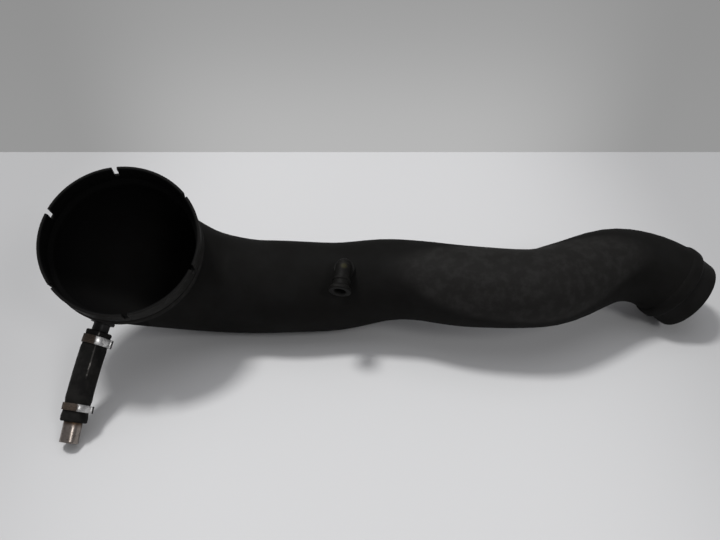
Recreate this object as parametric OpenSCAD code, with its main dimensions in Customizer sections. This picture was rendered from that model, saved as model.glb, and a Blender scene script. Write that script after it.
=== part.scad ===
// Air intake hose: a blow moulded duct with a slotted mouth, an elbow, a long
// tapering run and a plain end spigot. A short rubber vent hose hangs on its elbow.
// Millimetres, Z up, lying as it rests on a flat surface. X runs towards the
// plain end, and the origin is on that surface, under the middle of the outline.

/* [Mouth] */
// Outside diameter of the slotted collar
mouth_od = 90; // [86:1:94]
// Wall of the collar
collar_wall = 2; // [1.5:0.25:2.5]
// Depth from the rim to the stop groove
collar_depth = 13; // [12:0.5:14]
// Number of clamping slots in the rim
slot_count = 6; // [4:1:8]
// Width of each slot
slot_w = 3; // [2:0.5:4]
// Depth of each slot
slot_depth = 11; // [8:0.5:11.5]
// Turn of the first slot about the collar
slot_turn = 102; // [72:1:132]
// Tilt of the mouth towards the front, from facing straight up
mouth_tilt = 34.5; // [32:0.5:37]
// Lean of the mouth towards the plain end
mouth_lean = 5; // [4:0.5:6]

/* [Run] */
// Wall of the blow moulded run
duct_wall = 2.5; // [2:0.25:3]
// Outside diameter where the elbow ends
elbow_od = 61; // [59:0.5:61.5]
// Outside diameter at the narrowest part
run_od = 48; // [47:0.5:49.5]
// Outside diameter of the swell before the plain end
swell_od = 49.5; // [48.5:0.5:51]

/* [Plain end] */
// Outside diameter of the end spigot
spigot_od = 48; // [46.5:0.5:48.5]
// Length of the end spigot, from its shoulder to its end
spigot_len = 12.5; // [11:0.5:14]
// Outside diameter of the rounded shoulder behind the spigot
shoulder_od = 52; // [51.5:0.5:53]
// Radius of the rounded outer corner of the end
end_round = 2; // [1:0.5:2]
// Fall of the end below level
end_fall = 32.5; // [31:0.5:34]
// Turn of the end towards the front
end_turn = 17; // [15:0.5:19]

/* [Side elbow] */
// Diameter of the round foot of the side elbow
foot_od = 13; // [12:0.5:14]
// Outside diameter of its arm
arm_od = 10; // [9:0.5:11]
// Length of its arm, from the middle of the foot
arm_len = 17.5; // [16:0.5:19]
// Socket in the arm
arm_id = 7; // [6:0.5:7.5]
// Turn of the arm towards the mouth
arm_turn = 8; // [0:1:15]

/* [Vent hose] */
// Outside diameter of the rubber hose
hose_od = 14.5; // [14:0.25:15]
// Bore of the rubber hose
hose_id = 10; // [9.5:0.25:10.5]
// Length of the rubber hose
hose_len = 52; // [50:0.5:53]
// Bend of the hose over its whole length
hose_bend = 7.5; // [6:0.5:8]
// Outside diameter of the metal tube
tube_od = 10.2; // [10.2:0.1:10.8]
// Wall of the metal tube
tube_wall = 1; // [0.8:0.1:1.2]
// Length of the metal tube outside the hose
tube_out = 11.5; // [9:0.5:14]
// Width of the ear clamp bands
band_w = 6.5; // [5:0.5:8]
// Thickness of the ear clamp bands
band_t = 0.8; // [0.6:0.1:1]

/* [Hidden] */
$fn = 96;
// Clearance between pieces that fit into each other
gap = 0.05;
// Clearance of straight pieces in the bent hose
fit_gap = 0.2;
// Short overlap of solids that are joined, and overshoot of cuts
lap = 1;

// Mouth: middle of the rim and the direction that it faces
mouth_pos = [-159, 5.5, 90];
mouth_dir = [cos(mouth_tilt) * sin(mouth_lean), -sin(mouth_tilt), cos(mouth_tilt) * cos(mouth_lean)];
mouth_r = mouth_od / 2;
bore_r = mouth_r - collar_wall;
// Draft of the collar's outside, stop groove, and bead behind it
collar_draft = 0.5;
groove_w = 3;
groove_r = mouth_r - 1.5;
bead_w = 3;
bead_r = mouth_r;
throat_r = bore_r - 2.5;
// The body starts inside the bead, a little towards the plain end
body_od = mouth_od - 2;
body_pos = mouth_pos - (collar_depth + groove_w + bead_w / 2) * mouth_dir + [0.5, 0, 0];

// Plain end: middle of its end face and the direction that it opens
// Its rounded lower edge touches the surface that the duct lies on.
end_pos = [192, 40, (spigot_od / 2 - end_round) * cos(end_fall) + end_round * (1 - sin(end_fall))];
end_dir = [cos(end_fall) * cos(end_turn), -cos(end_fall) * sin(end_turn), -sin(end_fall)];
spigot_r = spigot_od / 2;
shoulder_r = shoulder_od / 2;
shoulder_len = 8;
end_wall = 2.5;

// Side elbow: middle of its pad on the run, and the pad's lift from facing the front
side_pos = [-33, 20, 57];
side_lift = 64.5;
side_pad_h = 3.7;

// Nipple: place round the mouth, depth below the rim, reach from the mouth's
// middle line, and dip away from the rim
nipple_turn = -102;
nipple_depth = 26;
nipple_reach = 42.6;
nipple_dip = 3.8;
nipple_pad_h = 2.2;
flange_od = 13.5;
flange_t = 1.8;
nipple_od = 9.4;
nipple_id = 6.4;
hose_start = 6.5;
bend_r = hose_len / (hose_bend * PI / 180);

// Stations of the body from mouth to plain end: x, y, z, outside diameter, and how far
// the ring has turned from the mouth's heading to that of the curve. The first and last
// stations only steer the curve, so that it leaves and meets its ends squarely.
steer = 44;
elbow = [-150.5, 24, 58];
end_bend = [160, 48, 36.5];
stations = [
    concat(elbow + steer * mouth_dir, body_od, 0),
    concat(body_pos, body_od, 0),
    concat(elbow, 77, 0.35),
    [-126, 34, 38.5, 66, 0.8],
    [-97.5, 37, 30.5, elbow_od, 1],
    [-70.5, 35, 31.5, elbow_od - 2, 1],
    [-38.5, 36.5, 30.5, elbow_od - 4.5, 1],
    [-9, 33, 38.5, 52, 1],
    [12.5, 29.5, 41, run_od + 2, 1],
    [42.5, 20, 44, run_od + 2, 1],
    [80.5, 16, 45.5, run_od, 1],
    [102, 24.5, 43.5, swell_od, 1],
    [135.5, 43, 42, run_od - 0.5, 1],
    concat(end_bend, run_od - 1, 1),
    concat(end_pos - (spigot_len + 3) * end_dir, spigot_od + 1.5, 1),
    concat(end_bend + steer * end_dir, spigot_od + 1.5, 1)
];

// Smooth curve through the stations, between stations i and i + 1
function curve(i, t) =
    let (a = stations[i - 1], b = stations[i], c = stations[i + 1], d = stations[i + 2])
    0.5 * (2 * b + (c - a) * t + (2 * a - 5 * b + 4 * c - d) * t * t + (3 * b - a - 3 * c + d) * t * t * t);
function place(p) = [p[0], p[1], p[2]];
function unit(v) = v / norm(v);
function heading(i, t) =
    let (along = unit(place(curve(i, t + 0.01) - curve(i, t - 0.01))), turned = min(1, curve(i, t)[4]))
    unit(turned * along - (1 - turned) * mouth_dir);

// One ring of the body, square to its heading, with the wall taken off its radius
function ring(p, along, sides, wall) =
    let (u = unit(cross(along, [0, 1, 0])), v = cross(along, u), r = p[3] / 2 - wall)
    [for (k = [0:sides - 1]) place(p) + r * (cos(360 * k / sides) * u + sin(360 * k / sides) * v)];
// All rings of one surface, with a few steps between stations
function rings(steps, sides, wall) =
    let (spans = len(stations) - 3)
    [
        for (i = [1:spans], j = [0:(i == spans ? steps : steps - 1)])
            each ring(curve(i, j / steps), heading(i, j / steps), sides, wall)
    ];

// Body of even wall, swept along the stations and open at both ends
module body_shell(steps, sides) {
    outer = rings(steps, sides, 0);
    inner = rings(steps, sides, duct_wall);
    size = len(outer);
    last = size - sides;
    outside = [
        for (i = [0:sides:last - sides], k = [0:sides - 1])
            let (a = i + k, b = i + (k + 1) % sides)
            each [[a, a + sides, b + sides], [a, b + sides, b]]
    ];
    inside = [for (f = outside) [f[0] + size, f[2] + size, f[1] + size]];
    ends = [
        for (k = [0:sides - 1])
            let (b = (k + 1) % sides)
            each [[k, b, b + size, k + size], [k + last, k + last + size, b + last + size, b + last]]
    ];
    polyhedron(concat(outer, inner), concat(outside, inside, ends), convexity = 8);
}

// Quarter arc of a profile, from angle a to angle b about a centre
function arc(x, y, r, a, b) = [for (i = [0:6]) [x + r * cos(a + (b - a) * i / 6), y + r * sin(a + (b - a) * i / 6)]];

// Places where pieces sit, with Z pointing out of the body
module at_mouth() {
    translate(mouth_pos) rotate([mouth_tilt, mouth_lean, 0]) children();
}
module at_end() {
    translate(end_pos) rotate([0, 90 + end_fall, -end_turn]) children();
}
module at_side() {
    translate(side_pos) rotate([90 - side_lift, 0, 0]) children();
}
module at_nipple() {
    at_mouth()
        rotate([0, 0, nipple_turn])
        translate([nipple_reach, 0, -nipple_depth])
        rotate([0, 90 + nipple_dip, 0])
        children();
}
// Place on the middle line of the hose, which bends towards the plain end
module at_hose(along) {
    at_nipple()
        translate([0, bend_r, hose_start])
        rotate([-hose_bend * along / hose_len, 0, 0])
        translate([0, -bend_r, 0])
        children();
}

// Slotted collar, stop groove and bead, with a ridge inside them
module collar() {
    groove_end = collar_depth + groove_w;
    bead_end = groove_end + bead_w;
    difference() {
        rotate_extrude()
            polygon([
                [bore_r, 0], [mouth_r, 0], [mouth_r - collar_draft, -collar_depth],
                [groove_r, -collar_depth - 1], [groove_r, 1 - groove_end], [bead_r, -groove_end],
                [bead_r, -bead_end], [throat_r, -bead_end], [throat_r, -collar_depth - 2],
                [bore_r, -collar_depth]
            ]);
        for (i = [0:slot_count - 1])
            rotate([0, 0, slot_turn + i * 360 / slot_count])
            translate([bore_r - lap, -slot_w / 2, -slot_depth])
            cube([collar_wall + 2 * lap, slot_w, slot_depth + lap]);
    }
}

// Plain end: shoulder, spigot and rounded corner
module spigot() {
    back = spigot_len + shoulder_len;
    crest = shoulder_r - spigot_r;
    rotate_extrude()
        polygon(concat(
            [[spigot_r - end_wall, -back], [spigot_r + crest - 0.5, -back], [shoulder_r, -back + 3]],
            arc(spigot_r, -spigot_len - crest, crest, 0, 90),
            arc(spigot_r - end_round, -end_round, end_round, 0, 90),
            [[spigot_r - end_wall, 0]]
        ));
}

// Strip clamp with its ends lapped and pinched up into one ear
module ear_clamp() {
    inner = hose_od / 2 + gap;
    outer = inner + band_t;
    ear_r = 1.7;
    ear_out = outer + 1;
    difference() {
        union() {
            cylinder(h = band_w, r = outer, center = true);
            rotate([0, 0, 20])
                rotate_extrude(angle = 110)
                translate([outer - 0.2, -band_w / 2 + 0.3])
                square([band_t, band_w - 0.6]);
            translate([ear_out, 0, 0]) cylinder(h = band_w, r = ear_r, center = true, $fn = 32);
        }
        cylinder(h = band_w + 2 * lap, r = inner, center = true);
        translate([ear_out, 0, 0]) cylinder(h = band_w + 2 * lap, r = ear_r - 0.7, center = true, $fn = 32);
    }
}

// Sawtooth ribs that hold a hose: outside radius, and length
module barbs(r, length) {
    ribs = 3;
    step = length / ribs;
    for (i = [0:ribs - 1])
        translate([0, 0, i * step]) cylinder(h = step, r1 = r, r2 = r - 0.5);
}

module duct() {
    color("#2b2a28")
    difference() {
        union() {
            body_shell(3, 32);
            at_mouth() collar();
            at_end() spigot();
            at_side() translate([0, 0, -side_pad_h]) cylinder(h = side_pad_h, d = foot_od - 1);
            at_nipple() translate([0, 0, -nipple_pad_h]) cylinder(h = nipple_pad_h, d = flange_od - 1);
        }
        at_side() translate([0, 0, -12]) cylinder(h = 12 + lap, d = arm_id);
        at_nipple() translate([0, 0, -14]) cylinder(h = 14 + lap, d = nipple_od);
    }
}

// Right angle fitting: a round foot and domed head, and an arm with a lipped socket
module side_elbow() {
    foot_t = 2;
    arm_r = arm_od / 2;
    lip_od = 13.5;
    arm_z = foot_t + arm_r - 1;
    tail_r = arm_id / 2 - gap;
    tail_len = 5;
    color("#33322d")
    at_side()
    difference() {
        union() {
            cylinder(h = foot_t, d = foot_od);
            cylinder(h = arm_z, r = arm_r);
            translate([0, 0, arm_z]) sphere(r = arm_r);
            translate([0, 0, arm_z])
                rotate([90, 0, -arm_turn])
                union() {
                    cylinder(h = arm_len, r = arm_r);
                    for (z = [7, 11]) translate([0, 0, z]) cylinder(h = 1.2, r = arm_r + 0.5);
                    translate([0, 0, arm_len - 4]) cylinder(h = 2, r1 = arm_r, r2 = lip_od / 2);
                    translate([0, 0, arm_len - 2]) cylinder(h = 2, d = lip_od);
                }
            translate([0, 0, -tail_len]) cylinder(h = tail_len, r = tail_r);
        }
        translate([0, 0, arm_z]) rotate([90, 0, -arm_turn]) translate([0, 0, 5]) cylinder(h = arm_len, d = arm_id);
        translate([0, 0, -tail_len - lap]) cylinder(h = tail_len + arm_z + lap, r = tail_r - 1);
        translate([0, 0, arm_z]) rotate([90, 0, -arm_turn]) cylinder(h = arm_len, r = tail_r - 1);
    }
}

// Straight nipple with a flange, pushed into the duct and into the hose
module vent_nipple() {
    in_hose = 12;
    color("#24231f")
    at_nipple()
    difference() {
        union() {
            translate([0, 0, -7]) cylinder(h = 7 + flange_t, d = nipple_od - 2 * gap);
            cylinder(h = flange_t, d = flange_od);
            cylinder(h = hose_start, d = nipple_od);
            translate([0, 0, hose_start]) barbs(hose_id / 2 - fit_gap, in_hose);
        }
        translate([0, 0, -7 - lap]) cylinder(h = 7 + hose_start + in_hose + 2 * lap, d = nipple_id);
    }
}

module vent_hose() {
    color("#1f1f1e")
    at_nipple()
        translate([0, bend_r, hose_start])
        rotate([90, 0, -90])
        rotate_extrude(angle = hose_bend)
        translate([bend_r, 0])
        difference() {
            circle(d = hose_od);
            circle(d = hose_id);
        }
}

module upper_clamp() {
    color("#8d8780")
    at_hose(5.5) rotate([0, 0, 60]) ear_clamp();
}

module lower_clamp() {
    color("#8d8780")
    at_hose(hose_len - 8) rotate([0, 0, 20]) ear_clamp();
}

module vent_tube() {
    in_hose = 13;
    color("#9a938a")
    at_hose(hose_len)
    difference() {
        union() {
            translate([0, 0, -in_hose]) cylinder(h = in_hose + lap, r = hose_id / 2 - fit_gap);
            cylinder(h = tube_out, d = tube_od);
        }
        translate([0, 0, -in_hose - lap]) cylinder(h = in_hose + tube_out + 2 * lap, d = tube_od - 2 * tube_wall);
    }
}

duct();
side_elbow();
vent_nipple();
vent_hose();
upper_clamp();
lower_clamp();
vent_tube();
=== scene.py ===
"""Looks of the air intake hose: a matt blow moulded duct, its side elbow, and a short
vent hose with two ear clamps and a metal tube. All places are in metres, in the frame
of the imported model."""

import math

import bmesh
import bpy
from mathutils import Matrix, Vector


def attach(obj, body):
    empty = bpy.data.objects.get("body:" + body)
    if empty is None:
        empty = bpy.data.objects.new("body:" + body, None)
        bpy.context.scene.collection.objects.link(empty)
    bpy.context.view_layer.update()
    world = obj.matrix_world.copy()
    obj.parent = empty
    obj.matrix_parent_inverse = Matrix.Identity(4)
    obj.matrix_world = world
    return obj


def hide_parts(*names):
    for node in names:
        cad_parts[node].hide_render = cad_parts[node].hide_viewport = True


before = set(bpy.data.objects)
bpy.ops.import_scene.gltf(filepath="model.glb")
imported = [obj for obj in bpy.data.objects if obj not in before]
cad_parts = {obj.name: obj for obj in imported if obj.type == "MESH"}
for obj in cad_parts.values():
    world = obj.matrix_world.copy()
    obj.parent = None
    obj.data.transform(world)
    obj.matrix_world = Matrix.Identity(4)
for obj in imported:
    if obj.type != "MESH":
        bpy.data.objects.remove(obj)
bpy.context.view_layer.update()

MM = 0.001

# Mouth: middle of the rim and the direction that it faces
MOUTH_POS = Vector((-159, 5.5, 90)) * MM
MOUTH_TILT, MOUTH_LEAN = math.radians(34.5), math.radians(5)
MOUTH_OD = 90 * MM
COLLAR_WALL = 2 * MM
COLLAR_DEPTH = 13 * MM
SLOT_COUNT, SLOT_W, SLOT_DEPTH = 6, 3 * MM, 8.5 * MM
SLOT_TURN = math.radians(102)
GROOVE_W, BEAD_W = 3 * MM, 3 * MM
THROAT_STEP = 2.5 * MM

# Plain end: middle of its end face, its fall and its turn
SPIGOT_OD, SPIGOT_LEN = 48 * MM, 12.5 * MM
SHOULDER_OD, SHOULDER_LEN = 52 * MM, 8 * MM
END_ROUND = 2 * MM
END_WALL = 2.5 * MM
END_FALL, END_TURN = math.radians(32.5), math.radians(17)
END_POS = Vector((
    192 * MM,
    40 * MM,
    (SPIGOT_OD / 2 - END_ROUND) * math.cos(END_FALL) + END_ROUND * (1 - math.sin(END_FALL)),
))
DUCT_WALL = 2.5 * MM

# Moulded pads under the side elbow and the nipple: both are smaller than what stands on them
PAD_INSET = 1 * MM
SIDE_PAD_DEPTH, VENT_PAD_DEPTH = 6 * MM, 1.6 * MM

# Side elbow: middle of its pad on the run, and the pad's lift from facing the front
SIDE_POS = Vector((-33, 20, 57)) * MM
SIDE_LIFT = math.radians(64.5)
FOOT_OD, FOOT_T = 13 * MM, 2 * MM
ARM_OD, ARM_LEN, ARM_ID = 10 * MM, 17.5 * MM, 7 * MM
ARM_TURN = math.radians(8)
LIP_OD = 13.5 * MM

# Nipple that leaves the elbow of the duct, placed from the middle of the mouth
NIPPLE_TURN, NIPPLE_DIP = math.radians(-102), math.radians(3.8)
NIPPLE_REACH, NIPPLE_DEPTH = 42.6 * MM, 26 * MM
FLANGE_OD, FLANGE_T = 13.5 * MM, 1.8 * MM
NIPPLE_OD, NIPPLE_ID = 9.4 * MM, 6.4 * MM

# Vent hose, counted along the nipple from the foot of its flange, with its tube and clamps
HOSE_START = 6.5 * MM
HOSE_OD, HOSE_ID, HOSE_LEN = 14.5 * MM, 10 * MM, 52 * MM
HOSE_FIT = 0.2 * MM
HOSE_BEND = math.radians(7.5)
TUBE_OD, TUBE_WALL = 10.2 * MM, 1 * MM
TUBE_OUT, TUBE_IN = 11.5 * MM, 13 * MM
UPPER_BAND_W, LOWER_BAND_W, BAND_T = 4.8 * MM, 4 * MM, 0.8 * MM
UPPER_BAND, LOWER_BAND = 5.5 * MM, HOSE_LEN - 8 * MM
UPPER_LAP_END, LOWER_LAP_END = 54, 76
UPPER_RUST, LOWER_RUST = 0, -1.5 * MM

# Around the hose, in degrees: the side that faces the camera, and the two edges seen from it
HOSE_FRONT, HOSE_RIGHT, HOSE_LEFT = 162, 80, 252

# Sides of the rings, and how near its axis a turned shape is closed by a flat cap
DUCT_SIDES, ROUND_SIDES, BAND_SIDES = 96, 64, 180
CORE_R = 0.2 * MM


def turn(axis, angle):
    return Matrix.Rotation(angle, 4, axis)


def shift(x, y, z):
    return Matrix.Translation((x, y, z))


AT_MOUTH = Matrix.Translation(MOUTH_POS) @ turn("Y", MOUTH_LEAN) @ turn("X", MOUTH_TILT)
AT_END = Matrix.Translation(END_POS) @ turn("Z", -END_TURN) @ turn("Y", math.pi / 2 + END_FALL)
AT_SIDE = Matrix.Translation(SIDE_POS) @ turn("X", math.pi / 2 - SIDE_LIFT)
AT_NIPPLE = (
    AT_MOUTH
    @ turn("Z", NIPPLE_TURN)
    @ shift(NIPPLE_REACH, 0, -NIPPLE_DEPTH)
    @ turn("Y", math.pi / 2 + NIPPLE_DIP)
)
MOUTH_DIR = AT_MOUTH.to_3x3() @ Vector((0, 0, 1))
END_DIR = AT_END.to_3x3() @ Vector((0, 0, 1))


def at_hose(along):
    """Frame on the middle line of the hose, which bends towards the plain end."""
    bend_r = HOSE_LEN / HOSE_BEND
    return (
        AT_NIPPLE
        @ shift(0, bend_r, HOSE_START)
        @ turn("X", -HOSE_BEND * along / HOSE_LEN)
        @ shift(0, -bend_r, 0)
    )


# Stations of the duct's body: x, y, z, outside diameter in mm, and how far the ring has
# turned from the mouth's heading to that of the curve. The first and last only steer.
STEER = 44
BODY_SHIFT = Vector((0.5, 0, 0))
ELBOW = (-150.5, 24, 58)
END_BEND = (160, 48, 36.5)


def beyond(point, direction, distance):
    return tuple(Vector(point) + Vector(direction) * distance)


BODY_START = tuple(
    (MOUTH_POS - (COLLAR_DEPTH + GROOVE_W + BEAD_W / 2) * MOUTH_DIR) / MM + BODY_SHIFT
)
STATIONS = [
    (*beyond(ELBOW, MOUTH_DIR, STEER), 88, 0),
    (*BODY_START, 88, 0),
    (*ELBOW, 77, 0.35),
    (-126, 34, 38.5, 66, 0.8),
    (-97.5, 37, 30.5, 61, 1),
    (-70.5, 35, 31.5, 59, 1),
    (-38.5, 36.5, 30.5, 56.5, 1),
    (-9, 33, 38.5, 52, 1),
    (12.5, 29.5, 41, 50, 1),
    (42.5, 20, 44, 50, 1),
    (80.5, 16, 45.5, 48, 1),
    (102, 24.5, 43.5, 49.5, 1),
    (135.5, 43, 42, 47.5, 1),
    (*END_BEND, 47, 1),
    (*beyond(END_POS / MM, END_DIR, -15.5), 49.5, 1),
    (*beyond(END_BEND, END_DIR, STEER), 49.5, 1),
]


def along_body(i, t):
    """Centre, diameter and turn on the smooth curve between stations i and i + 1."""
    a, b, c, d = STATIONS[i - 1 : i + 3]
    return [
        0.5 * (
            2 * q
            + (r - p) * t
            + (2 * p - 5 * q + 4 * r - s) * t**2
            + (3 * q - p - 3 * r + s) * t**3
        )
        for p, q, r, s in zip(a, b, c, d)
    ]


def upright(centre, direction):
    """Frame at a centre with Z along a direction, and its other axes steady along the duct."""
    along = direction.normalized()
    side = along.cross(Vector((0, 1, 0))).normalized()
    up = along.cross(side)
    frame_at = Matrix((side, up, along)).transposed().to_4x4()
    frame_at.translation = centre
    return frame_at


def body_frames(steps):
    """Frames and outside radii of the rings of the duct's body, from mouth to plain end."""
    found = []
    spans = len(STATIONS) - 3
    nudge = 0.01
    for i in range(1, spans + 1):
        for j in range(steps + (i == spans)):
            here = along_body(i, j / steps)
            ahead, behind = along_body(i, j / steps + nudge), along_body(i, j / steps - nudge)
            tangent = (Vector(ahead[:3]) - Vector(behind[:3])).normalized()
            turned = min(1, here[4])
            heading = turned * tangent - (1 - turned) * MOUTH_DIR
            found.append((upright(Vector(here[:3]) * MM, heading), here[3] / 2 * MM))
    return found


# Modelling: a round piece starts as rings of one mesh, which are joined in order by quads

def start_piece(name):
    """An empty mesh object of that name, alone in the selection and in edit mode."""
    if bpy.context.mode != "OBJECT":
        bpy.ops.object.mode_set(mode="OBJECT")
    bpy.ops.object.select_all(action="DESELECT")
    bpy.ops.mesh.primitive_circle_add(vertices=3, radius=MM)
    piece = bpy.context.object
    piece.name = piece.data.name = name
    bpy.ops.object.mode_set(mode="EDIT")
    bpy.ops.mesh.select_all(action="SELECT")
    bpy.ops.mesh.delete(type="VERT")
    # Leaving edit mode once clears the deleted points, so that new ones keep their order
    bpy.ops.object.mode_set(mode="OBJECT")
    bpy.ops.object.mode_set(mode="EDIT")
    return piece


def add_rings(rings, sides):
    """Circles at (frame, radius), each added at its size and place."""
    for place, radius in rings:
        bpy.ops.mesh.primitive_circle_add(
            vertices=sides,
            radius=radius,
            location=place.translation,
            rotation=place.to_euler(),
        )


def bridge_rings(piece, count, sides, close=False):
    """Joins each ring to the next by quads, and the last one to the first if it is closed."""
    mesh = bmesh.from_edit_mesh(piece.data)
    mesh.verts.ensure_lookup_table()
    for k in range(count if close else count - 1):
        low, high = k * sides, (k + 1) % count * sides
        for i in range(sides):
            j = (i + 1) % sides
            mesh.faces.new([mesh.verts[n] for n in (low + i, low + j, high + j, high + i)])
    bmesh.update_edit_mesh(piece.data)


def end_piece(piece, smooth=35):
    """Merges doubles, turns all faces outwards, shades round faces smooth."""
    bpy.ops.mesh.select_mode(type="VERT")
    bpy.ops.mesh.select_all(action="SELECT")
    bpy.ops.mesh.remove_doubles(threshold=0.01 * MM)
    bpy.ops.mesh.normals_make_consistent(inside=False)
    bpy.ops.object.mode_set(mode="OBJECT")
    shade(piece, smooth)
    return piece


def shade(piece, smooth):
    """Shades smooth over every edge that bends by less than that many degrees."""
    bpy.ops.object.select_all(action="DESELECT")
    bpy.context.view_layer.objects.active = piece
    piece.select_set(True)
    bpy.ops.object.shade_smooth_by_angle(angle=math.radians(smooth))


def finish_with(piece, kind, **settings):
    """Adds a modifier to the piece and applies it."""
    bpy.context.view_layer.objects.active = piece
    modifier = piece.modifiers.new(kind.lower(), kind)
    for key, value in settings.items():
        setattr(modifier, key, value)
    bpy.ops.object.modifier_apply(modifier=modifier.name)


def soften(piece, width):
    """Small rounded bevels on the sharp edges."""
    settings = {"limit_method": "ANGLE", "angle_limit": math.radians(50)}
    finish_with(piece, "BEVEL", width=width, segments=2, **settings)


def tube_of_rings(name, rings, sides, close=True):
    """A shell through rings, closed into a ring shape, or by a cap at each end."""
    piece = start_piece(name)
    add_rings(rings, sides)
    bridge_rings(piece, len(rings), sides, close=close)
    if not close:
        bpy.ops.mesh.select_all(action="SELECT")
        bpy.ops.mesh.fill_holes(sides=0)
    return end_piece(piece)


def turned_piece(name, place, profile, close=True):
    """A lathe shape about the Z axis of a frame, from its (radius, height) profile."""
    rings = [(place @ shift(0, 0, height), radius) for radius, height in profile]
    return tube_of_rings(name, rings, ROUND_SIDES, close)


def rounded(x, y, radius, start, end, steps=4):
    """Points of an arc of a profile, between two angles in degrees."""
    angles = [math.radians(start + (end - start) * k / steps) for k in range(steps + 1)]
    return [(x + radius * math.cos(a), y + radius * math.sin(a)) for a in angles]


def cut_or_join(piece, others, operation):
    """Boolean of the piece with closed helper solids, which are then removed."""
    for other in others:
        finish_with(piece, "BOOLEAN", operation=operation, object=other, solver="EXACT")
        bpy.data.objects.remove(other)


def join(piece, other):
    """One mesh of both, which keeps the first one's name."""
    bpy.ops.object.select_all(action="DESELECT")
    other.select_set(True)
    piece.select_set(True)
    bpy.context.view_layer.objects.active = piece
    bpy.ops.object.join()


def block(name, place, size):
    """A helper box in a frame, used as a cutter."""
    bpy.ops.object.select_all(action="DESELECT")
    bpy.ops.mesh.primitive_cube_add(size=1)
    box = bpy.context.object
    box.name = name
    box.data.transform(place @ Matrix.Diagonal((*size, 1)))
    return box


# Pieces of the hose

def make_duct():
    """The duct, blow moulded in one piece: collar, groove, bead, body, shoulder and spigot."""
    mouth_r, spigot_r, shoulder_r = MOUTH_OD / 2, SPIGOT_OD / 2, SHOULDER_OD / 2
    bore_r = mouth_r - COLLAR_WALL
    groove_end = COLLAR_DEPTH + GROOVE_W
    bead_end = groove_end + BEAD_W
    rim = 0.5 * MM
    crest = shoulder_r - spigot_r
    back = SPIGOT_LEN + SHOULDER_LEN

    def mouth_rings(profile):
        return [(upright(MOUTH_POS - depth * MOUTH_DIR, -MOUTH_DIR), r) for r, depth in profile]

    def end_rings(profile):
        return [(upright(END_POS - depth * END_DIR, END_DIR), r) for r, depth in profile]

    collar = [
        *rounded(bore_r + rim, rim, rim, 180, 270, 2),
        *rounded(mouth_r - rim, rim, rim, 270, 360, 3),
        (mouth_r - 0.25 * MM, COLLAR_DEPTH / 2),
        (mouth_r - 0.5 * MM, COLLAR_DEPTH - 0.6 * MM),
        (mouth_r - 0.7 * MM, COLLAR_DEPTH),
        (mouth_r - 1.5 * MM, COLLAR_DEPTH + 0.9 * MM),
        (mouth_r - 1.5 * MM, groove_end - 0.9 * MM),
        *rounded(mouth_r - BEAD_W / 2, groove_end + BEAD_W / 2, BEAD_W / 2, -80, 50, 7),
    ]
    throat = [
        (bore_r - THROAT_STEP, bead_end),
        (bore_r - THROAT_STEP, COLLAR_DEPTH + 2.3 * MM),
        (bore_r - THROAT_STEP + 0.3 * MM, COLLAR_DEPTH + 1.8 * MM),
        (bore_r - 0.3 * MM, COLLAR_DEPTH + 0.2 * MM),
        (bore_r, COLLAR_DEPTH - 0.2 * MM),
    ]
    shoulder = [
        (spigot_r + 0.5 * MM, back + 1.2 * MM),
        (spigot_r + 0.6 * MM, back + 0.4 * MM),
        (shoulder_r - 0.7 * MM, back - 0.2 * MM),
        (shoulder_r - 0.2 * MM, back - 1.2 * MM),
        (shoulder_r, back - 2.6 * MM),
        *rounded(spigot_r, SPIGOT_LEN + crest, crest, 0, -80, 5),
        (spigot_r, SPIGOT_LEN - 0.6 * MM),
        (spigot_r, SPIGOT_LEN / 2),
        *rounded(spigot_r - END_ROUND, END_ROUND, END_ROUND, 0, -80, 5),
        (spigot_r - END_WALL + 0.2 * MM, 0),
        (spigot_r - END_WALL, 0.3 * MM),
    ]
    # The first and the last two rings of the body give way to those of the ends
    body = body_frames(steps=4)[1:-2]
    lining = [(place, radius - DUCT_WALL) for place, radius in reversed(body)]
    rings = mouth_rings(collar) + body + end_rings(shoulder) + lining + mouth_rings(throat)
    duct = tube_of_rings("duct_shell", rings, DUCT_SIDES)

    cutters = []
    cutter_t, cutter_over = 8 * MM, 2 * MM
    for i in range(SLOT_COUNT):
        place = AT_MOUTH @ turn("Z", SLOT_TURN + i * 2 * math.pi / SLOT_COUNT)
        place = place @ shift(mouth_r, 0, (cutter_over - SLOT_DEPTH) / 2)
        cutters.append(block("slot", place, (cutter_t, SLOT_W, SLOT_DEPTH + cutter_over)))
    cut_or_join(duct, cutters, "DIFFERENCE")
    side_pad = pad_profile(FOOT_OD - PAD_INSET, SIDE_PAD_DEPTH)
    vent_pad = pad_profile(FLANGE_OD - PAD_INSET, VENT_PAD_DEPTH)
    pads = [
        turned_piece("side_pad", AT_SIDE, side_pad, close=False),
        turned_piece("vent_pad", AT_NIPPLE, vent_pad, close=False),
    ]
    cut_or_join(duct, pads, "UNION")
    soften(duct, 0.2 * MM)
    shade(duct, 40)
    return duct


def pad_profile(diameter, depth):
    """A round moulded pad with a soft edge, that spreads where it meets the duct."""
    r = diameter / 2
    return [
        (CORE_R, 0),
        (r - 0.5 * MM, 0),
        (r - 0.1 * MM, -0.15 * MM),
        (r, -0.5 * MM),
        (r + 0.2 * MM, -depth / 2),
        (r + 0.8 * MM, -depth),
        (CORE_R, -depth),
    ]


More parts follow.
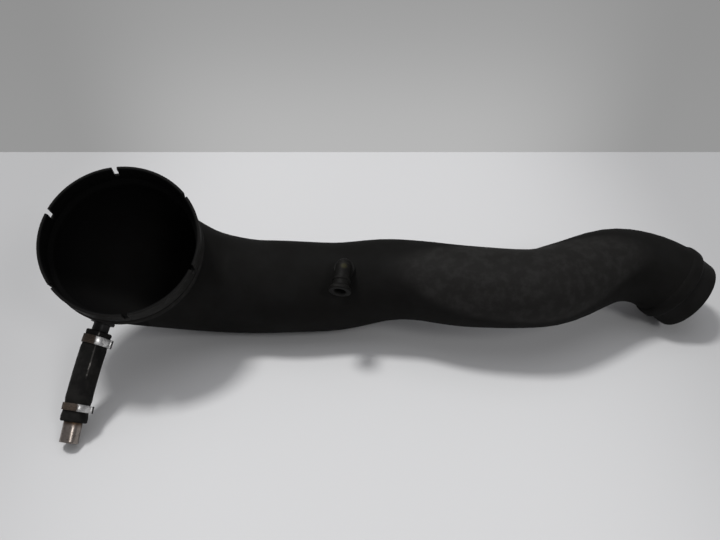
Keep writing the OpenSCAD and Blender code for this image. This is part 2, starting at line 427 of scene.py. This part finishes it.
def make_side_elbow():
    """The right angle fitting, in one piece: foot, domed head and arm with a lipped socket."""
    arm_r, lip_r, bore_r = ARM_OD / 2, LIP_OD / 2, ARM_ID / 2
    arm_z, arm_core, bore_start = FOOT_T + arm_r - 1.6 * MM, 1 * MM, 5 * MM
    rib_z, rib_t, rib_w = 9.6 * MM, 0.5 * MM, 1.2 * MM
    head_r, tail = arm_r - 0.5 * MM, 5 * MM
    head = turned_piece("side_elbow_body", AT_SIDE, [
        *rounded(0, arm_z, head_r, 87, 0, 8),
        (head_r, FOOT_T + 0.6 * MM),
        (head_r + 0.3 * MM, FOOT_T + 0.1 * MM),
        *rounded(FOOT_OD / 2 - 0.4 * MM, FOOT_T - 0.4 * MM, 0.4 * MM, 90, 0, 3),
        (FOOT_OD / 2, 0),
        (bore_r, 0),
        (bore_r, -tail),
        (CORE_R, -tail),
    ], close=False)
    along_arm = AT_SIDE @ shift(0, 0, arm_z) @ turn("Z", -ARM_TURN) @ turn("X", math.pi / 2)
    arm = turned_piece("side_elbow_arm", along_arm, [
        (arm_core, 0),
        (arm_r, 0),
        (arm_r, rib_z),
        (arm_r + rib_t, rib_z + 0.1 * MM),
        (arm_r + rib_t, rib_z + rib_w - 0.1 * MM),
        (arm_r, rib_z + rib_w),
        (arm_r, ARM_LEN - 3.6 * MM),
        (lip_r - 0.3 * MM, ARM_LEN - 2.2 * MM),
        (lip_r, ARM_LEN - 1.7 * MM),
        *rounded(lip_r - 0.5 * MM, ARM_LEN - 0.5 * MM, 0.5 * MM, 0, 90, 3),
        (bore_r + 0.5 * MM, ARM_LEN),
        (bore_r, ARM_LEN - 0.5 * MM),
        (bore_r, bore_start),
        (arm_core, bore_start),
    ])
    # The remesh makes one skin of both and fills the bore, which is then cut
    join(head, arm)
    finish_with(head, "REMESH", mode="VOXEL", voxel_size=0.24 * MM)
    finish_with(head, "SMOOTH", factor=0.5, iterations=4)
    bore = turned_piece("side_elbow_bore", along_arm, [
        (CORE_R, bore_start),
        (bore_r, bore_start),
        (bore_r, ARM_LEN - 0.6 * MM),
        (bore_r + 0.8 * MM, ARM_LEN + 0.2 * MM),
        (bore_r + 0.8 * MM, ARM_LEN + 2 * MM),
        (CORE_R, ARM_LEN + 2 * MM),
    ], close=False)
    cut_or_join(head, [bore], "DIFFERENCE")
    shade(head, 50)
    return head


def make_nipple():
    """The straight nipple: flange, neck, and sawtooth ribs inside the hose."""
    neck_r, bore_r, flange_r = NIPPLE_OD / 2, NIPPLE_ID / 2, FLANGE_OD / 2
    rib_r, rib_len, rib_count = HOSE_ID / 2 - HOSE_FIT, 4 * MM, 3
    stub, stub_r = 2.8 * MM, neck_r - 0.05 * MM
    ribs = []
    for i in range(rib_count):
        start = HOSE_START + i * rib_len
        ribs += [(rib_r, start + 0.1 * MM), (rib_r - 0.5 * MM, start + rib_len - 0.1 * MM)]
    return turned_piece("nipple", AT_NIPPLE, [
        (bore_r, -stub),
        (stub_r, -stub),
        (stub_r, 0),
        (flange_r - 0.3 * MM, 0),
        (flange_r, 0.3 * MM),
        *rounded(flange_r - 0.4 * MM, FLANGE_T - 0.4 * MM, 0.4 * MM, 0, 90, 3),
        (neck_r + 0.5 * MM, FLANGE_T),
        (neck_r + 0.1 * MM, FLANGE_T + 0.2 * MM),
        (neck_r, FLANGE_T + 0.6 * MM),
        (neck_r, HOSE_START - 0.1 * MM),
        *ribs,
        (bore_r, HOSE_START + rib_count * rib_len),
    ])


def make_hose():
    """The rubber hose: slightly bent, pinched under both clamps, with rounded cut ends."""
    outer, inner = HOSE_OD / 2, HOSE_ID / 2
    pinch, bulge, spread = 0.3 * MM, 0.12 * MM, 3.6 * MM
    corner, cut_steps = 0.5 * MM, (0, 0.4, 1)
    outer_steps, inner_steps = 64, 12

    def squeezed(along):
        """Outside radius: thinner under a clamp, and a little thicker on both sides of it."""
        r = outer
        for band in (UPPER_BAND, LOWER_BAND):
            away = (along - band) / spread
            r += bulge * math.exp(-((abs(away) - 1.5) ** 2) * 6) - pinch * math.exp(-(away**4))
        return r

    def cut_ring(along, k):
        return at_hose(along), outer - corner * (1 - k) ** 2

    outside = [cut_ring(corner * k, k) for k in cut_steps]
    for k in range(1, outer_steps):
        along = corner + (HOSE_LEN - 2 * corner) * k / outer_steps
        outside.append((at_hose(along), squeezed(along)))
    outside += [cut_ring(HOSE_LEN - corner * k, k) for k in reversed(cut_steps)]
    inside = [
        (at_hose(HOSE_LEN * (1 - k / inner_steps)), inner) for k in range(inner_steps + 1)
    ]
    return tube_of_rings("rubber_hose", outside + inside, ROUND_SIDES)


def make_band(name, place, radius, start, end, width, ear):
    """A strip round the hose between two angles in degrees, with an ear at 0 if asked."""
    ear_half, ear_r, ear_lift, ear_sweep = 13, 1.1 * MM, 0.3 * MM, 140
    slack = 0.01
    low_edge = (0, 0, -width / 2)
    strip = start_piece(name)
    bpy.ops.mesh.primitive_circle_add(vertices=BAND_SIDES, radius=radius, location=low_edge)
    mesh = bmesh.from_edit_mesh(strip.data)
    outside = []
    for vert in mesh.verts:
        angle = math.degrees(math.atan2(vert.co.y, vert.co.x))
        if ear and abs(angle) <= ear_half:
            sweep = math.radians(ear_sweep * angle / ear_half)
            vert.co.x = radius + ear_lift + ear_r * math.cos(sweep)
            vert.co.y = ear_r * math.sin(sweep)
        if not start - slack <= angle % 360 <= end + slack:
            outside.append(vert)
    bmesh.ops.delete(mesh, geom=outside, context="VERTS")
    bmesh.update_edit_mesh(strip.data)
    bpy.ops.mesh.select_all(action="SELECT")
    bpy.ops.mesh.extrude_region_move(TRANSFORM_OT_translate={"value": (0, 0, width)})
    bpy.ops.object.mode_set(mode="OBJECT")
    strip.data.transform(place)
    finish_with(strip, "SOLIDIFY", thickness=BAND_T, offset=0)
    soften(strip, 0.12 * MM)
    return strip


def make_clamp(name, along, lap_end, width):
    """An ear clamp: a closed band with one ear, and the lapped end of its strip over it."""
    place = at_hose(along) @ turn("Z", math.radians(HOSE_RIGHT))
    squeeze, lap_start, lap_sink, lap_inset = 0.2 * MM, 20, 0.1 * MM, 0.5 * MM
    inner = HOSE_OD / 2 - squeeze
    lap_r = inner + 1.5 * BAND_T - lap_sink
    band = make_band(name, place, inner + BAND_T / 2, 0, 360, width, True)
    lap = make_band(name + "_lap", place, lap_r, lap_start, lap_end, width - lap_inset, False)
    join(band, lap)
    bpy.ops.object.mode_set(mode="EDIT")
    return end_piece(band, 40)


def make_tube():
    """The thin metal tube, its end slightly rolled in."""
    r, wall = TUBE_OD / 2, TUBE_WALL
    insert_r = HOSE_ID / 2 - HOSE_FIT
    return turned_piece("metal_tube", at_hose(HOSE_LEN), [
        (r - wall, -TUBE_IN),
        (insert_r, -TUBE_IN),
        (insert_r, 0.05 * MM),
        (r - 0.05 * MM, 0.1 * MM),
        (r, 0.4 * MM),
        (r, TUBE_OUT - 1 * MM),
        *rounded(r - 0.35 * MM, TUBE_OUT - 0.35 * MM, 0.35 * MM, 0, 90, 3),
        *rounded(r - wall + 0.3 * MM, TUBE_OUT - 0.3 * MM, 0.3 * MM, 90, 180, 3),
    ])


# Finishes: shader maths is written as expressions on sockets

class Value:
    """A socket whose sums and products add their Math nodes."""

    def __init__(self, finish, socket):
        self.finish, self.socket = finish, socket

    def _math(self, operation, *terms):
        return self.finish.node("ShaderNodeMath", {"operation": operation}, dict(enumerate(terms)))

    def __add__(self, other):
        return self._math("ADD", self, other)

    def __sub__(self, other):
        return self._math("SUBTRACT", self, other)

    def __rsub__(self, other):
        return self._math("SUBTRACT", other, self)

    def __mul__(self, other):
        return self._math("MULTIPLY", self, other)

    __radd__ = __add__
    __rmul__ = __mul__

    def between(self, low, high):
        """From 0 at low to 1 at high, with a soft start and end."""
        settings = {"interpolation_type": "SMOOTHSTEP"}
        sockets = {"Value": self, "From Min": low, "From Max": high}
        return self.finish.node("ShaderNodeMapRange", settings, sockets)


class Finish:
    """One material, made node by node around its shader."""

    def __init__(self, name, **constants):
        self.material = bpy.data.materials.new(name)
        self.material.use_nodes = True
        self.tree = self.material.node_tree
        self.shader = self.tree.nodes["Principled BSDF"]
        for name_of, value in constants.items():
            self.shader.inputs[name_of.replace("_", " ")].default_value = value

    def node(self, kind, settings=None, sockets=None, output=0):
        """Adds a node, sets it up, then gives its sockets their values or links."""
        made = self.tree.nodes.new(kind)
        for key, value in (settings or {}).items():
            setattr(made, key, value)
        for key, value in (sockets or {}).items():
            self.plug(made.inputs[key], value)
        return Value(self, made.outputs[output])

    def plug(self, socket, value):
        """A link from another node, or a fixed value."""
        if isinstance(value, Value):
            self.tree.links.new(value.socket, socket)
        else:
            socket.default_value = value

    def place(self, frame_at=None):
        """Object coordinates, or those of a frame on the piece."""
        spot = self.node("ShaderNodeTexCoord", output="Object")
        if frame_at is None:
            return spot
        sockets = {
            "Vector": spot,
            "Location": frame_at.translation,
            "Rotation": frame_at.to_euler(),
        }
        return self.node("ShaderNodeMapping", {"vector_type": "TEXTURE"}, sockets)

    def part(self, spot, axis):
        """One coordinate of a place."""
        return self.node("ShaderNodeSeparateXYZ", None, {0: spot}, output="XYZ".index(axis))

    def off_axis(self, here):
        """Distance from the Z axis of a frame on the piece."""
        flat = self.vector_math("MULTIPLY", here, (1, 1, 0), 0)
        return self.vector_math("LENGTH", flat, (0, 0, 0), "Value")

    def vector_math(self, operation, a, b, output):
        return self.node("ShaderNodeVectorMath", {"operation": operation}, {0: a, 1: b}, output)

    def noise(self, spot, size, detail, roughness=0.5):
        """Cloudy noise from 0 to 1, with patches of about that size."""
        sockets = {"Vector": spot, "Scale": 1 / size, "Detail": detail, "Roughness": roughness}
        return self.node("ShaderNodeTexNoise", None, sockets)

    def mix(self, share, low, high):
        """Colour between two colours."""
        made = self.node("ShaderNodeMix", {"data_type": "RGBA"}).socket.node
        sockets = {"Factor_Float": share, "A_Color": low, "B_Color": high}
        for socket in made.inputs:
            if socket.identifier in sockets:
                self.plug(socket, sockets[socket.identifier])
        return Value(self, next(s for s in made.outputs if s.type == "RGBA"))

    def bump(self, height, distance, strength):
        """Relief from a height, in the shader's normal."""
        sockets = {"Height": height, "Distance": distance, "Strength": strength}
        self.plug(self.shader.inputs["Normal"], self.node("ShaderNodeBump", None, sockets))

    def set(self, **sockets):
        """Fixed values or links for the shader's own sockets."""
        for name, value in sockets.items():
            self.plug(self.shader.inputs[name.replace("_", " ")], value)

    def on(self, piece):
        piece.data.materials.clear()
        piece.data.materials.append(self.material)


def grey(value, warm=0.0):
    """A near neutral colour, warmer where warm is above 0."""
    return (value * (1 + warm), value, value * (1 - 1.5 * warm), 1)


def duct_finish():
    """Fine moulded texture, a smoother collar painted lighter outside as painted sheen, and
    painted shade inside near the mouth.
    """
    finish = Finish("duct_plastic", Specular_IOR_Level=0.06)
    spot = finish.place()
    at_mouth = finish.place(AT_MOUTH)
    depth = finish.part(at_mouth, "Z") * -1
    off_axis, mouth_r, taper = finish.off_axis(at_mouth), MOUTH_OD / 2, 0.06
    # outside: the collar's outer face, which is painted lighter as painted sheen
    outside = (off_axis + depth * taper).between(mouth_r - 0.6 * MM, mouth_r - 0.1 * MM)
    # inside: the bore near the mouth, painted near black as painted shade
    inside = 1 - off_axis.between(mouth_r - 1.6 * MM, mouth_r - 1.1 * MM)
    inside = inside * (1 - depth.between(20 * MM, 60 * MM))
    textured = depth.between(COLLAR_DEPTH + GROOVE_W, COLLAR_DEPTH + GROOVE_W + 2 * BEAD_W)
    from_end = finish.part(finish.place(AT_END), "Z") * -1
    at_spigot = 1 - from_end.between(SPIGOT_LEN, SPIGOT_LEN + SHOULDER_LEN)
    clouds = finish.noise(spot, 18 * MM, 3)
    wear = finish.noise(spot, 6 * MM, 4, 0.6)
    grain = finish.noise(spot, 0.9 * MM, 3, 0.65)
    body_dark, body_light = grey(0.006, 0.05), grey(0.0078, 0.03)
    # Collar colours: lighter than the body as painted sheen, varied by patches of wear
    collar_sheen_dark, collar_sheen_light = grey(0.013, 0.04), grey(0.02, 0.03)
    painted_inside_shade = grey(0.0025)
    body = finish.mix(clouds.between(0.35, 0.7), body_dark, body_light)
    smooth = finish.mix(wear.between(0.4, 0.7), collar_sheen_dark, collar_sheen_light)
    outer = finish.mix((1 - textured) * outside, body, smooth)
    finish.set(
        Base_Color=finish.mix(inside, outer, painted_inside_shade),
        Roughness=0.58 + textured * 0.12 + wear * 0.12 - at_spigot * 0.16 + inside * 0.2,
    )
    finish.bump(grain * (0.35 + 0.65 * textured) + 0.5 * wear, 0.12 * MM, 0.7)
    return finish


def fitting_finish():
    """Smooth worn plastic of the side elbow, with a dull olive stain on its head."""
    finish = Finish("fitting_plastic", Specular_IOR_Level=0.1)
    spot = finish.place()
    stain_spot, olive = (0, -2.5 * MM, 10.4 * MM), (0.034, 0.031, 0.013, 1)
    away = finish.vector_math("DISTANCE", finish.place(AT_SIDE), stain_spot, "Value")
    ragged = finish.noise(spot, 1.6 * MM, 3, 0.7)
    stain = (1 - (away + ragged * 2 * MM).between(1.4 * MM, 3.6 * MM)) * 0.8
    worn = finish.noise(spot, 4 * MM, 4, 0.6).between(0.45, 0.75)
    dark, light = grey(0.005, 0.06), grey(0.009, 0.06)
    plain = finish.mix(worn, dark, light)
    finish.set(
        Base_Color=finish.mix(stain, plain, olive),
        Roughness=0.5 + ragged * 0.2,
    )
    finish.bump(ragged + worn * 0.4, 0.1 * MM, 0.5)
    return finish


def nipple_finish():
    """Smooth dark plastic, slightly worn."""
    finish = Finish("nipple_plastic", Specular_IOR_Level=0.2)
    spot = finish.place()
    worn = finish.noise(spot, 3 * MM, 4, 0.6)
    dark, light = grey(0.006, 0.05), grey(0.011, 0.05)
    finish.set(
        Base_Color=finish.mix(worn.between(0.4, 0.7), dark, light),
        Roughness=0.35 + worn * 0.2,
    )
    finish.bump(finish.noise(spot, 0.5 * MM, 2), 0.05 * MM, 0.4)
    return finish


def hose_finish():
    """Worn rubber with dark blotches, and a pale streak along its front that is a painted
    highlight, broken in a few places.
    """
    finish = Finish("hose_rubber", Specular_IOR_Level=0.12)
    spot = finish.place()
    blotches = finish.noise(spot, 7 * MM, 4, 0.6)
    fine = finish.noise(spot, 0.8 * MM, 3, 0.6)
    # The pale streak along the front side of the hose is a painted highlight
    off_front = 6
    line_half, line_at = 0.5 * MM, math.radians(HOSE_FRONT - off_front)
    dark, light, painted_streak_grey = grey(0.003, 0.06), grey(0.0095, 0.06), grey(0.17, 0.05)
    here = finish.place(at_hose(HOSE_LEN / 2) @ turn("Z", line_at))
    across = finish.part(here, "Y") + (fine - 0.5) * 0.5 * MM
    facing = finish.part(here, "X").between(0, 1 * MM)
    along = finish.part(here, "Z") * -1
    line = 1 - (across * across).between(0, line_half**2)
    line = line * facing * along.between(-2 * MM, 3 * MM)
    streak_gaps = finish.noise(spot, 2.2 * MM, 2).between(0.5, 0.62)
    pale = line * (0.2 + 0.8 * streak_gaps)
    rubber = finish.mix(blotches.between(0.36, 0.62), dark, light)
    finish.set(
        Base_Color=finish.mix(pale, rubber, painted_streak_grey),
        Roughness=0.62 + 0.2 * blotches - 0.15 * line,
    )
    finish.bump(fine * 0.5 + blotches + pale * 0.8, 0.15 * MM, 0.6)
    return finish


def clamp_finish(name, place, rust_start):
    """Plated steel strip whose ear is painted dark as painted shade, and brown rust on the left
    side of the band.
    """
    finish = Finish(name, Specular_IOR_Level=0.5)
    spot = finish.place()
    patches = finish.noise(spot, 2.5 * MM, 5, 0.65)
    speckle = finish.noise(spot, 0.7 * MM, 3, 0.6)
    here = finish.place(place @ turn("Z", math.radians(HOSE_LEFT)))
    # The ear is painted dark as painted shade, in place of its reflection of the floor
    ear_start = HOSE_OD / 2 + 1.35 * MM
    painted_ear_shade = finish.off_axis(here).between(ear_start, ear_start + 0.25 * MM)
    side = finish.part(here, "X") + (patches - 0.5) * 4 * MM
    rust = side.between(rust_start, rust_start + 1.5 * MM)
    dull, bright, ear_shade_grey = grey(0.42, 0.01), grey(0.62, 0.01), grey(0.035)
    metal = finish.mix(speckle.between(0.35, 0.7), dull, bright)
    dark_rust, light_rust = (0.02, 0.013, 0.008, 1), (0.062, 0.04, 0.026, 1)
    brown = finish.mix(speckle.between(0.35, 0.65), dark_rust, light_rust)
    finish.set(
        Base_Color=finish.mix(rust, finish.mix(painted_ear_shade, metal, ear_shade_grey), brown),
        Metallic=1 - 0.85 * rust,
        Roughness=0.28 + 0.12 * patches + 0.35 * rust,
    )
    finish.bump(speckle * (0.2 + 0.8 * rust), 0.08 * MM, 0.6)
    return finish


def tube_finish():
    """Drawn metal with a dull bronze tint, brown where it enters the hose."""
    finish = Finish("tube_metal", Metallic=1.0)
    here = finish.place(at_hose(HOSE_LEN))
    stretch = finish.node("ShaderNodeMapping", None, {"Vector": here, "Scale": (1, 1, 0.12)})
    drawn = finish.noise(stretch, 0.6 * MM, 4, 0.6)
    patches = finish.noise(here, 3 * MM, 4, 0.6)
    dirty = 1 - (finish.part(here, "Z") - patches * 3 * MM).between(-1.5 * MM, 1.5 * MM)
    dull, bright, stained = (0.2, 0.172, 0.152, 1), (0.28, 0.245, 0.22, 1), (0.08, 0.05, 0.03, 1)
    clean = finish.mix(patches.between(0.35, 0.65), dull, bright)
    finish.set(
        Base_Color=finish.mix(dirty, clean, stained),
        Roughness=0.23 + 0.1 * patches + 0.2 * dirty,
    )
    finish.bump(drawn, 0.05 * MM, 0.35)
    return finish


# Putting the pieces on the frame

def fit(piece, node, finish):
    """Gives a piece its finish, and puts it in the place of its CAD node."""
    finish.on(piece)
    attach(piece, "root")
    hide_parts(node)


fit(make_duct(), "duct", duct_finish())
fit(make_side_elbow(), "side_elbow", fitting_finish())
fit(make_nipple(), "vent_nipple", nipple_finish())
fit(make_hose(), "vent_hose", hose_finish())
fit(
    make_clamp("upper_ear_clamp", UPPER_BAND, UPPER_LAP_END, UPPER_BAND_W),
    "upper_clamp",
    clamp_finish("upper_clamp_steel", at_hose(UPPER_BAND), UPPER_RUST),
)
fit(
    make_clamp("lower_ear_clamp", LOWER_BAND, LOWER_LAP_END, LOWER_BAND_W),
    "lower_clamp",
    clamp_finish("lower_clamp_steel", at_hose(LOWER_BAND), LOWER_RUST),
)
fit(make_tube(), "vent_tube", tube_finish())


# Studio: pale floor and wall, a soft lamp overhead, a wide weak one and one in front

STAGE_W, WALL_H, WALL_FROM_MIDDLE = 3, 1.4, 269.5 * MM
# Floor colour in the middle, and darker at the sides as painted shade
FLOOR_SHADES = 0.69, 0.5
# Wall colours are painted light: paler near the floor, and darker at the sides
WALL_SHADES, WALL_FADE = (0.47, 0.34), 160 * MM
WALL_SIDE_SHADE, WALL_SIDE_SHARE = 0.27, 0.8
STAGE_MIDDLE, SHADE_START, SHADE_END = -20 * MM, 50 * MM, 270 * MM


def stage_plane(name, size, place, finish):
    """A flat board that isn't part of the object."""
    bpy.ops.object.select_all(action="DESELECT")
    bpy.ops.mesh.primitive_plane_add(size=1)
    plane = bpy.context.object
    plane.name = name
    plane.data.transform(place @ Matrix.Diagonal((*size, 1, 1)))
    finish.on(plane)


def painted_falloff_to_sides(finish):
    """From 0 in the middle of the stage to 1 at both sides, where painted shade darkens the
    floor and the wall.
    """
    off_middle = finish.part(finish.place(), "X") - STAGE_MIDDLE
    return (off_middle * off_middle).between(SHADE_START**2, SHADE_END**2)


def floor_finish():
    """Matt pale board, darkened towards both sides by painted shade."""
    finish = Finish("floor", Roughness=0.8, Specular_IOR_Level=0.2)
    middle, sides = map(grey, FLOOR_SHADES)
    finish.set(Base_Color=finish.mix(painted_falloff_to_sides(finish), middle, sides))
    return finish


def wall_finish():
    """Grey backdrop that glows with painted light, paler near the floor and darker towards both
    sides; it shades nothing, and is clear from behind."""
    finish = Finish("wall")
    low, high = map(grey, WALL_SHADES)
    height = finish.part(finish.place(), "Z").between(0, WALL_FADE)
    middle = finish.mix(height, low, high)
    sides = painted_falloff_to_sides(finish) * WALL_SIDE_SHARE
    painted_wall_light = finish.mix(sides, middle, grey(WALL_SIDE_SHADE))
    rays = [
        finish.node("ShaderNodeLightPath", output=f"Is {kind} Ray")
        for kind in ("Camera", "Glossy", "Transmission")
    ]
    glow = finish.node("ShaderNodeEmission", None, {"Color": painted_wall_light})
    from_front = 1 - finish.node("ShaderNodeNewGeometry", output="Backfacing")
    clear = finish.node("ShaderNodeBsdfTransparent")
    share = (rays[0] + rays[1] + rays[2]) * from_front
    seen = finish.node("ShaderNodeMixShader", None, {0: share, 1: clear, 2: glow})
    finish.plug(finish.tree.nodes["Material Output"].inputs["Surface"], seen)
    return finish


def lamp(name, spot, aim, size, power, colour=(1, 1, 1)):
    """A round soft lamp, turned towards its aim."""
    data = bpy.data.lights.new(name, "AREA")
    data.shape, data.size, data.energy, data.color = "DISK", size, power, colour
    made = bpy.data.objects.new(name, data)
    bpy.context.scene.collection.objects.link(made)
    made.location = spot
    made.rotation_euler = (Vector(aim) - Vector(spot)).to_track_quat("-Z", "Y").to_euler()


wall_place = shift(0, WALL_FROM_MIDDLE, WALL_H / 2) @ turn("X", math.pi / 2)
stage_plane("floor", (STAGE_W, STAGE_W), Matrix(), floor_finish())
stage_plane("wall", (STAGE_W, WALL_H), wall_place, wall_finish())
lamp("main_lamp", (-0.65, 0.3, 2.2), (0, 0, 0), 0.45, 27)
lamp("fill_lamp", (0, 0.2, 2.3), (0, 0.1, 0), 2.4, 9, (0.95, 0.96, 1.0))
lamp("front_lamp", (0.65, -0.9, 1.05), (-0.1, 0, 0.03), 0.4, 3.6)
ROOM_LIGHT = (0.27, 0.27, 0.28, 1)
world = bpy.data.worlds.new("room")
bpy.context.scene.world = world
world.use_nodes = True
world.node_tree.nodes["Background"].inputs["Color"].default_value = ROOM_LIGHT

CAMERA_SPOT, LOOK_DOWN = (-0.0235, -0.3275, 0.3282), math.radians(38)
SENSOR_W, LENS = 36, 36.4
camera = bpy.data.objects.new("camera", bpy.data.cameras.new("camera"))
bpy.context.scene.collection.objects.link(camera)
camera.location = CAMERA_SPOT
camera.rotation_euler = (math.pi / 2 - LOOK_DOWN, 0, 0)
camera.data.sensor_width, camera.data.lens = SENSOR_W, LENS
bpy.context.scene.camera = camera
bpy.context.scene.view_settings.view_transform = "Standard"
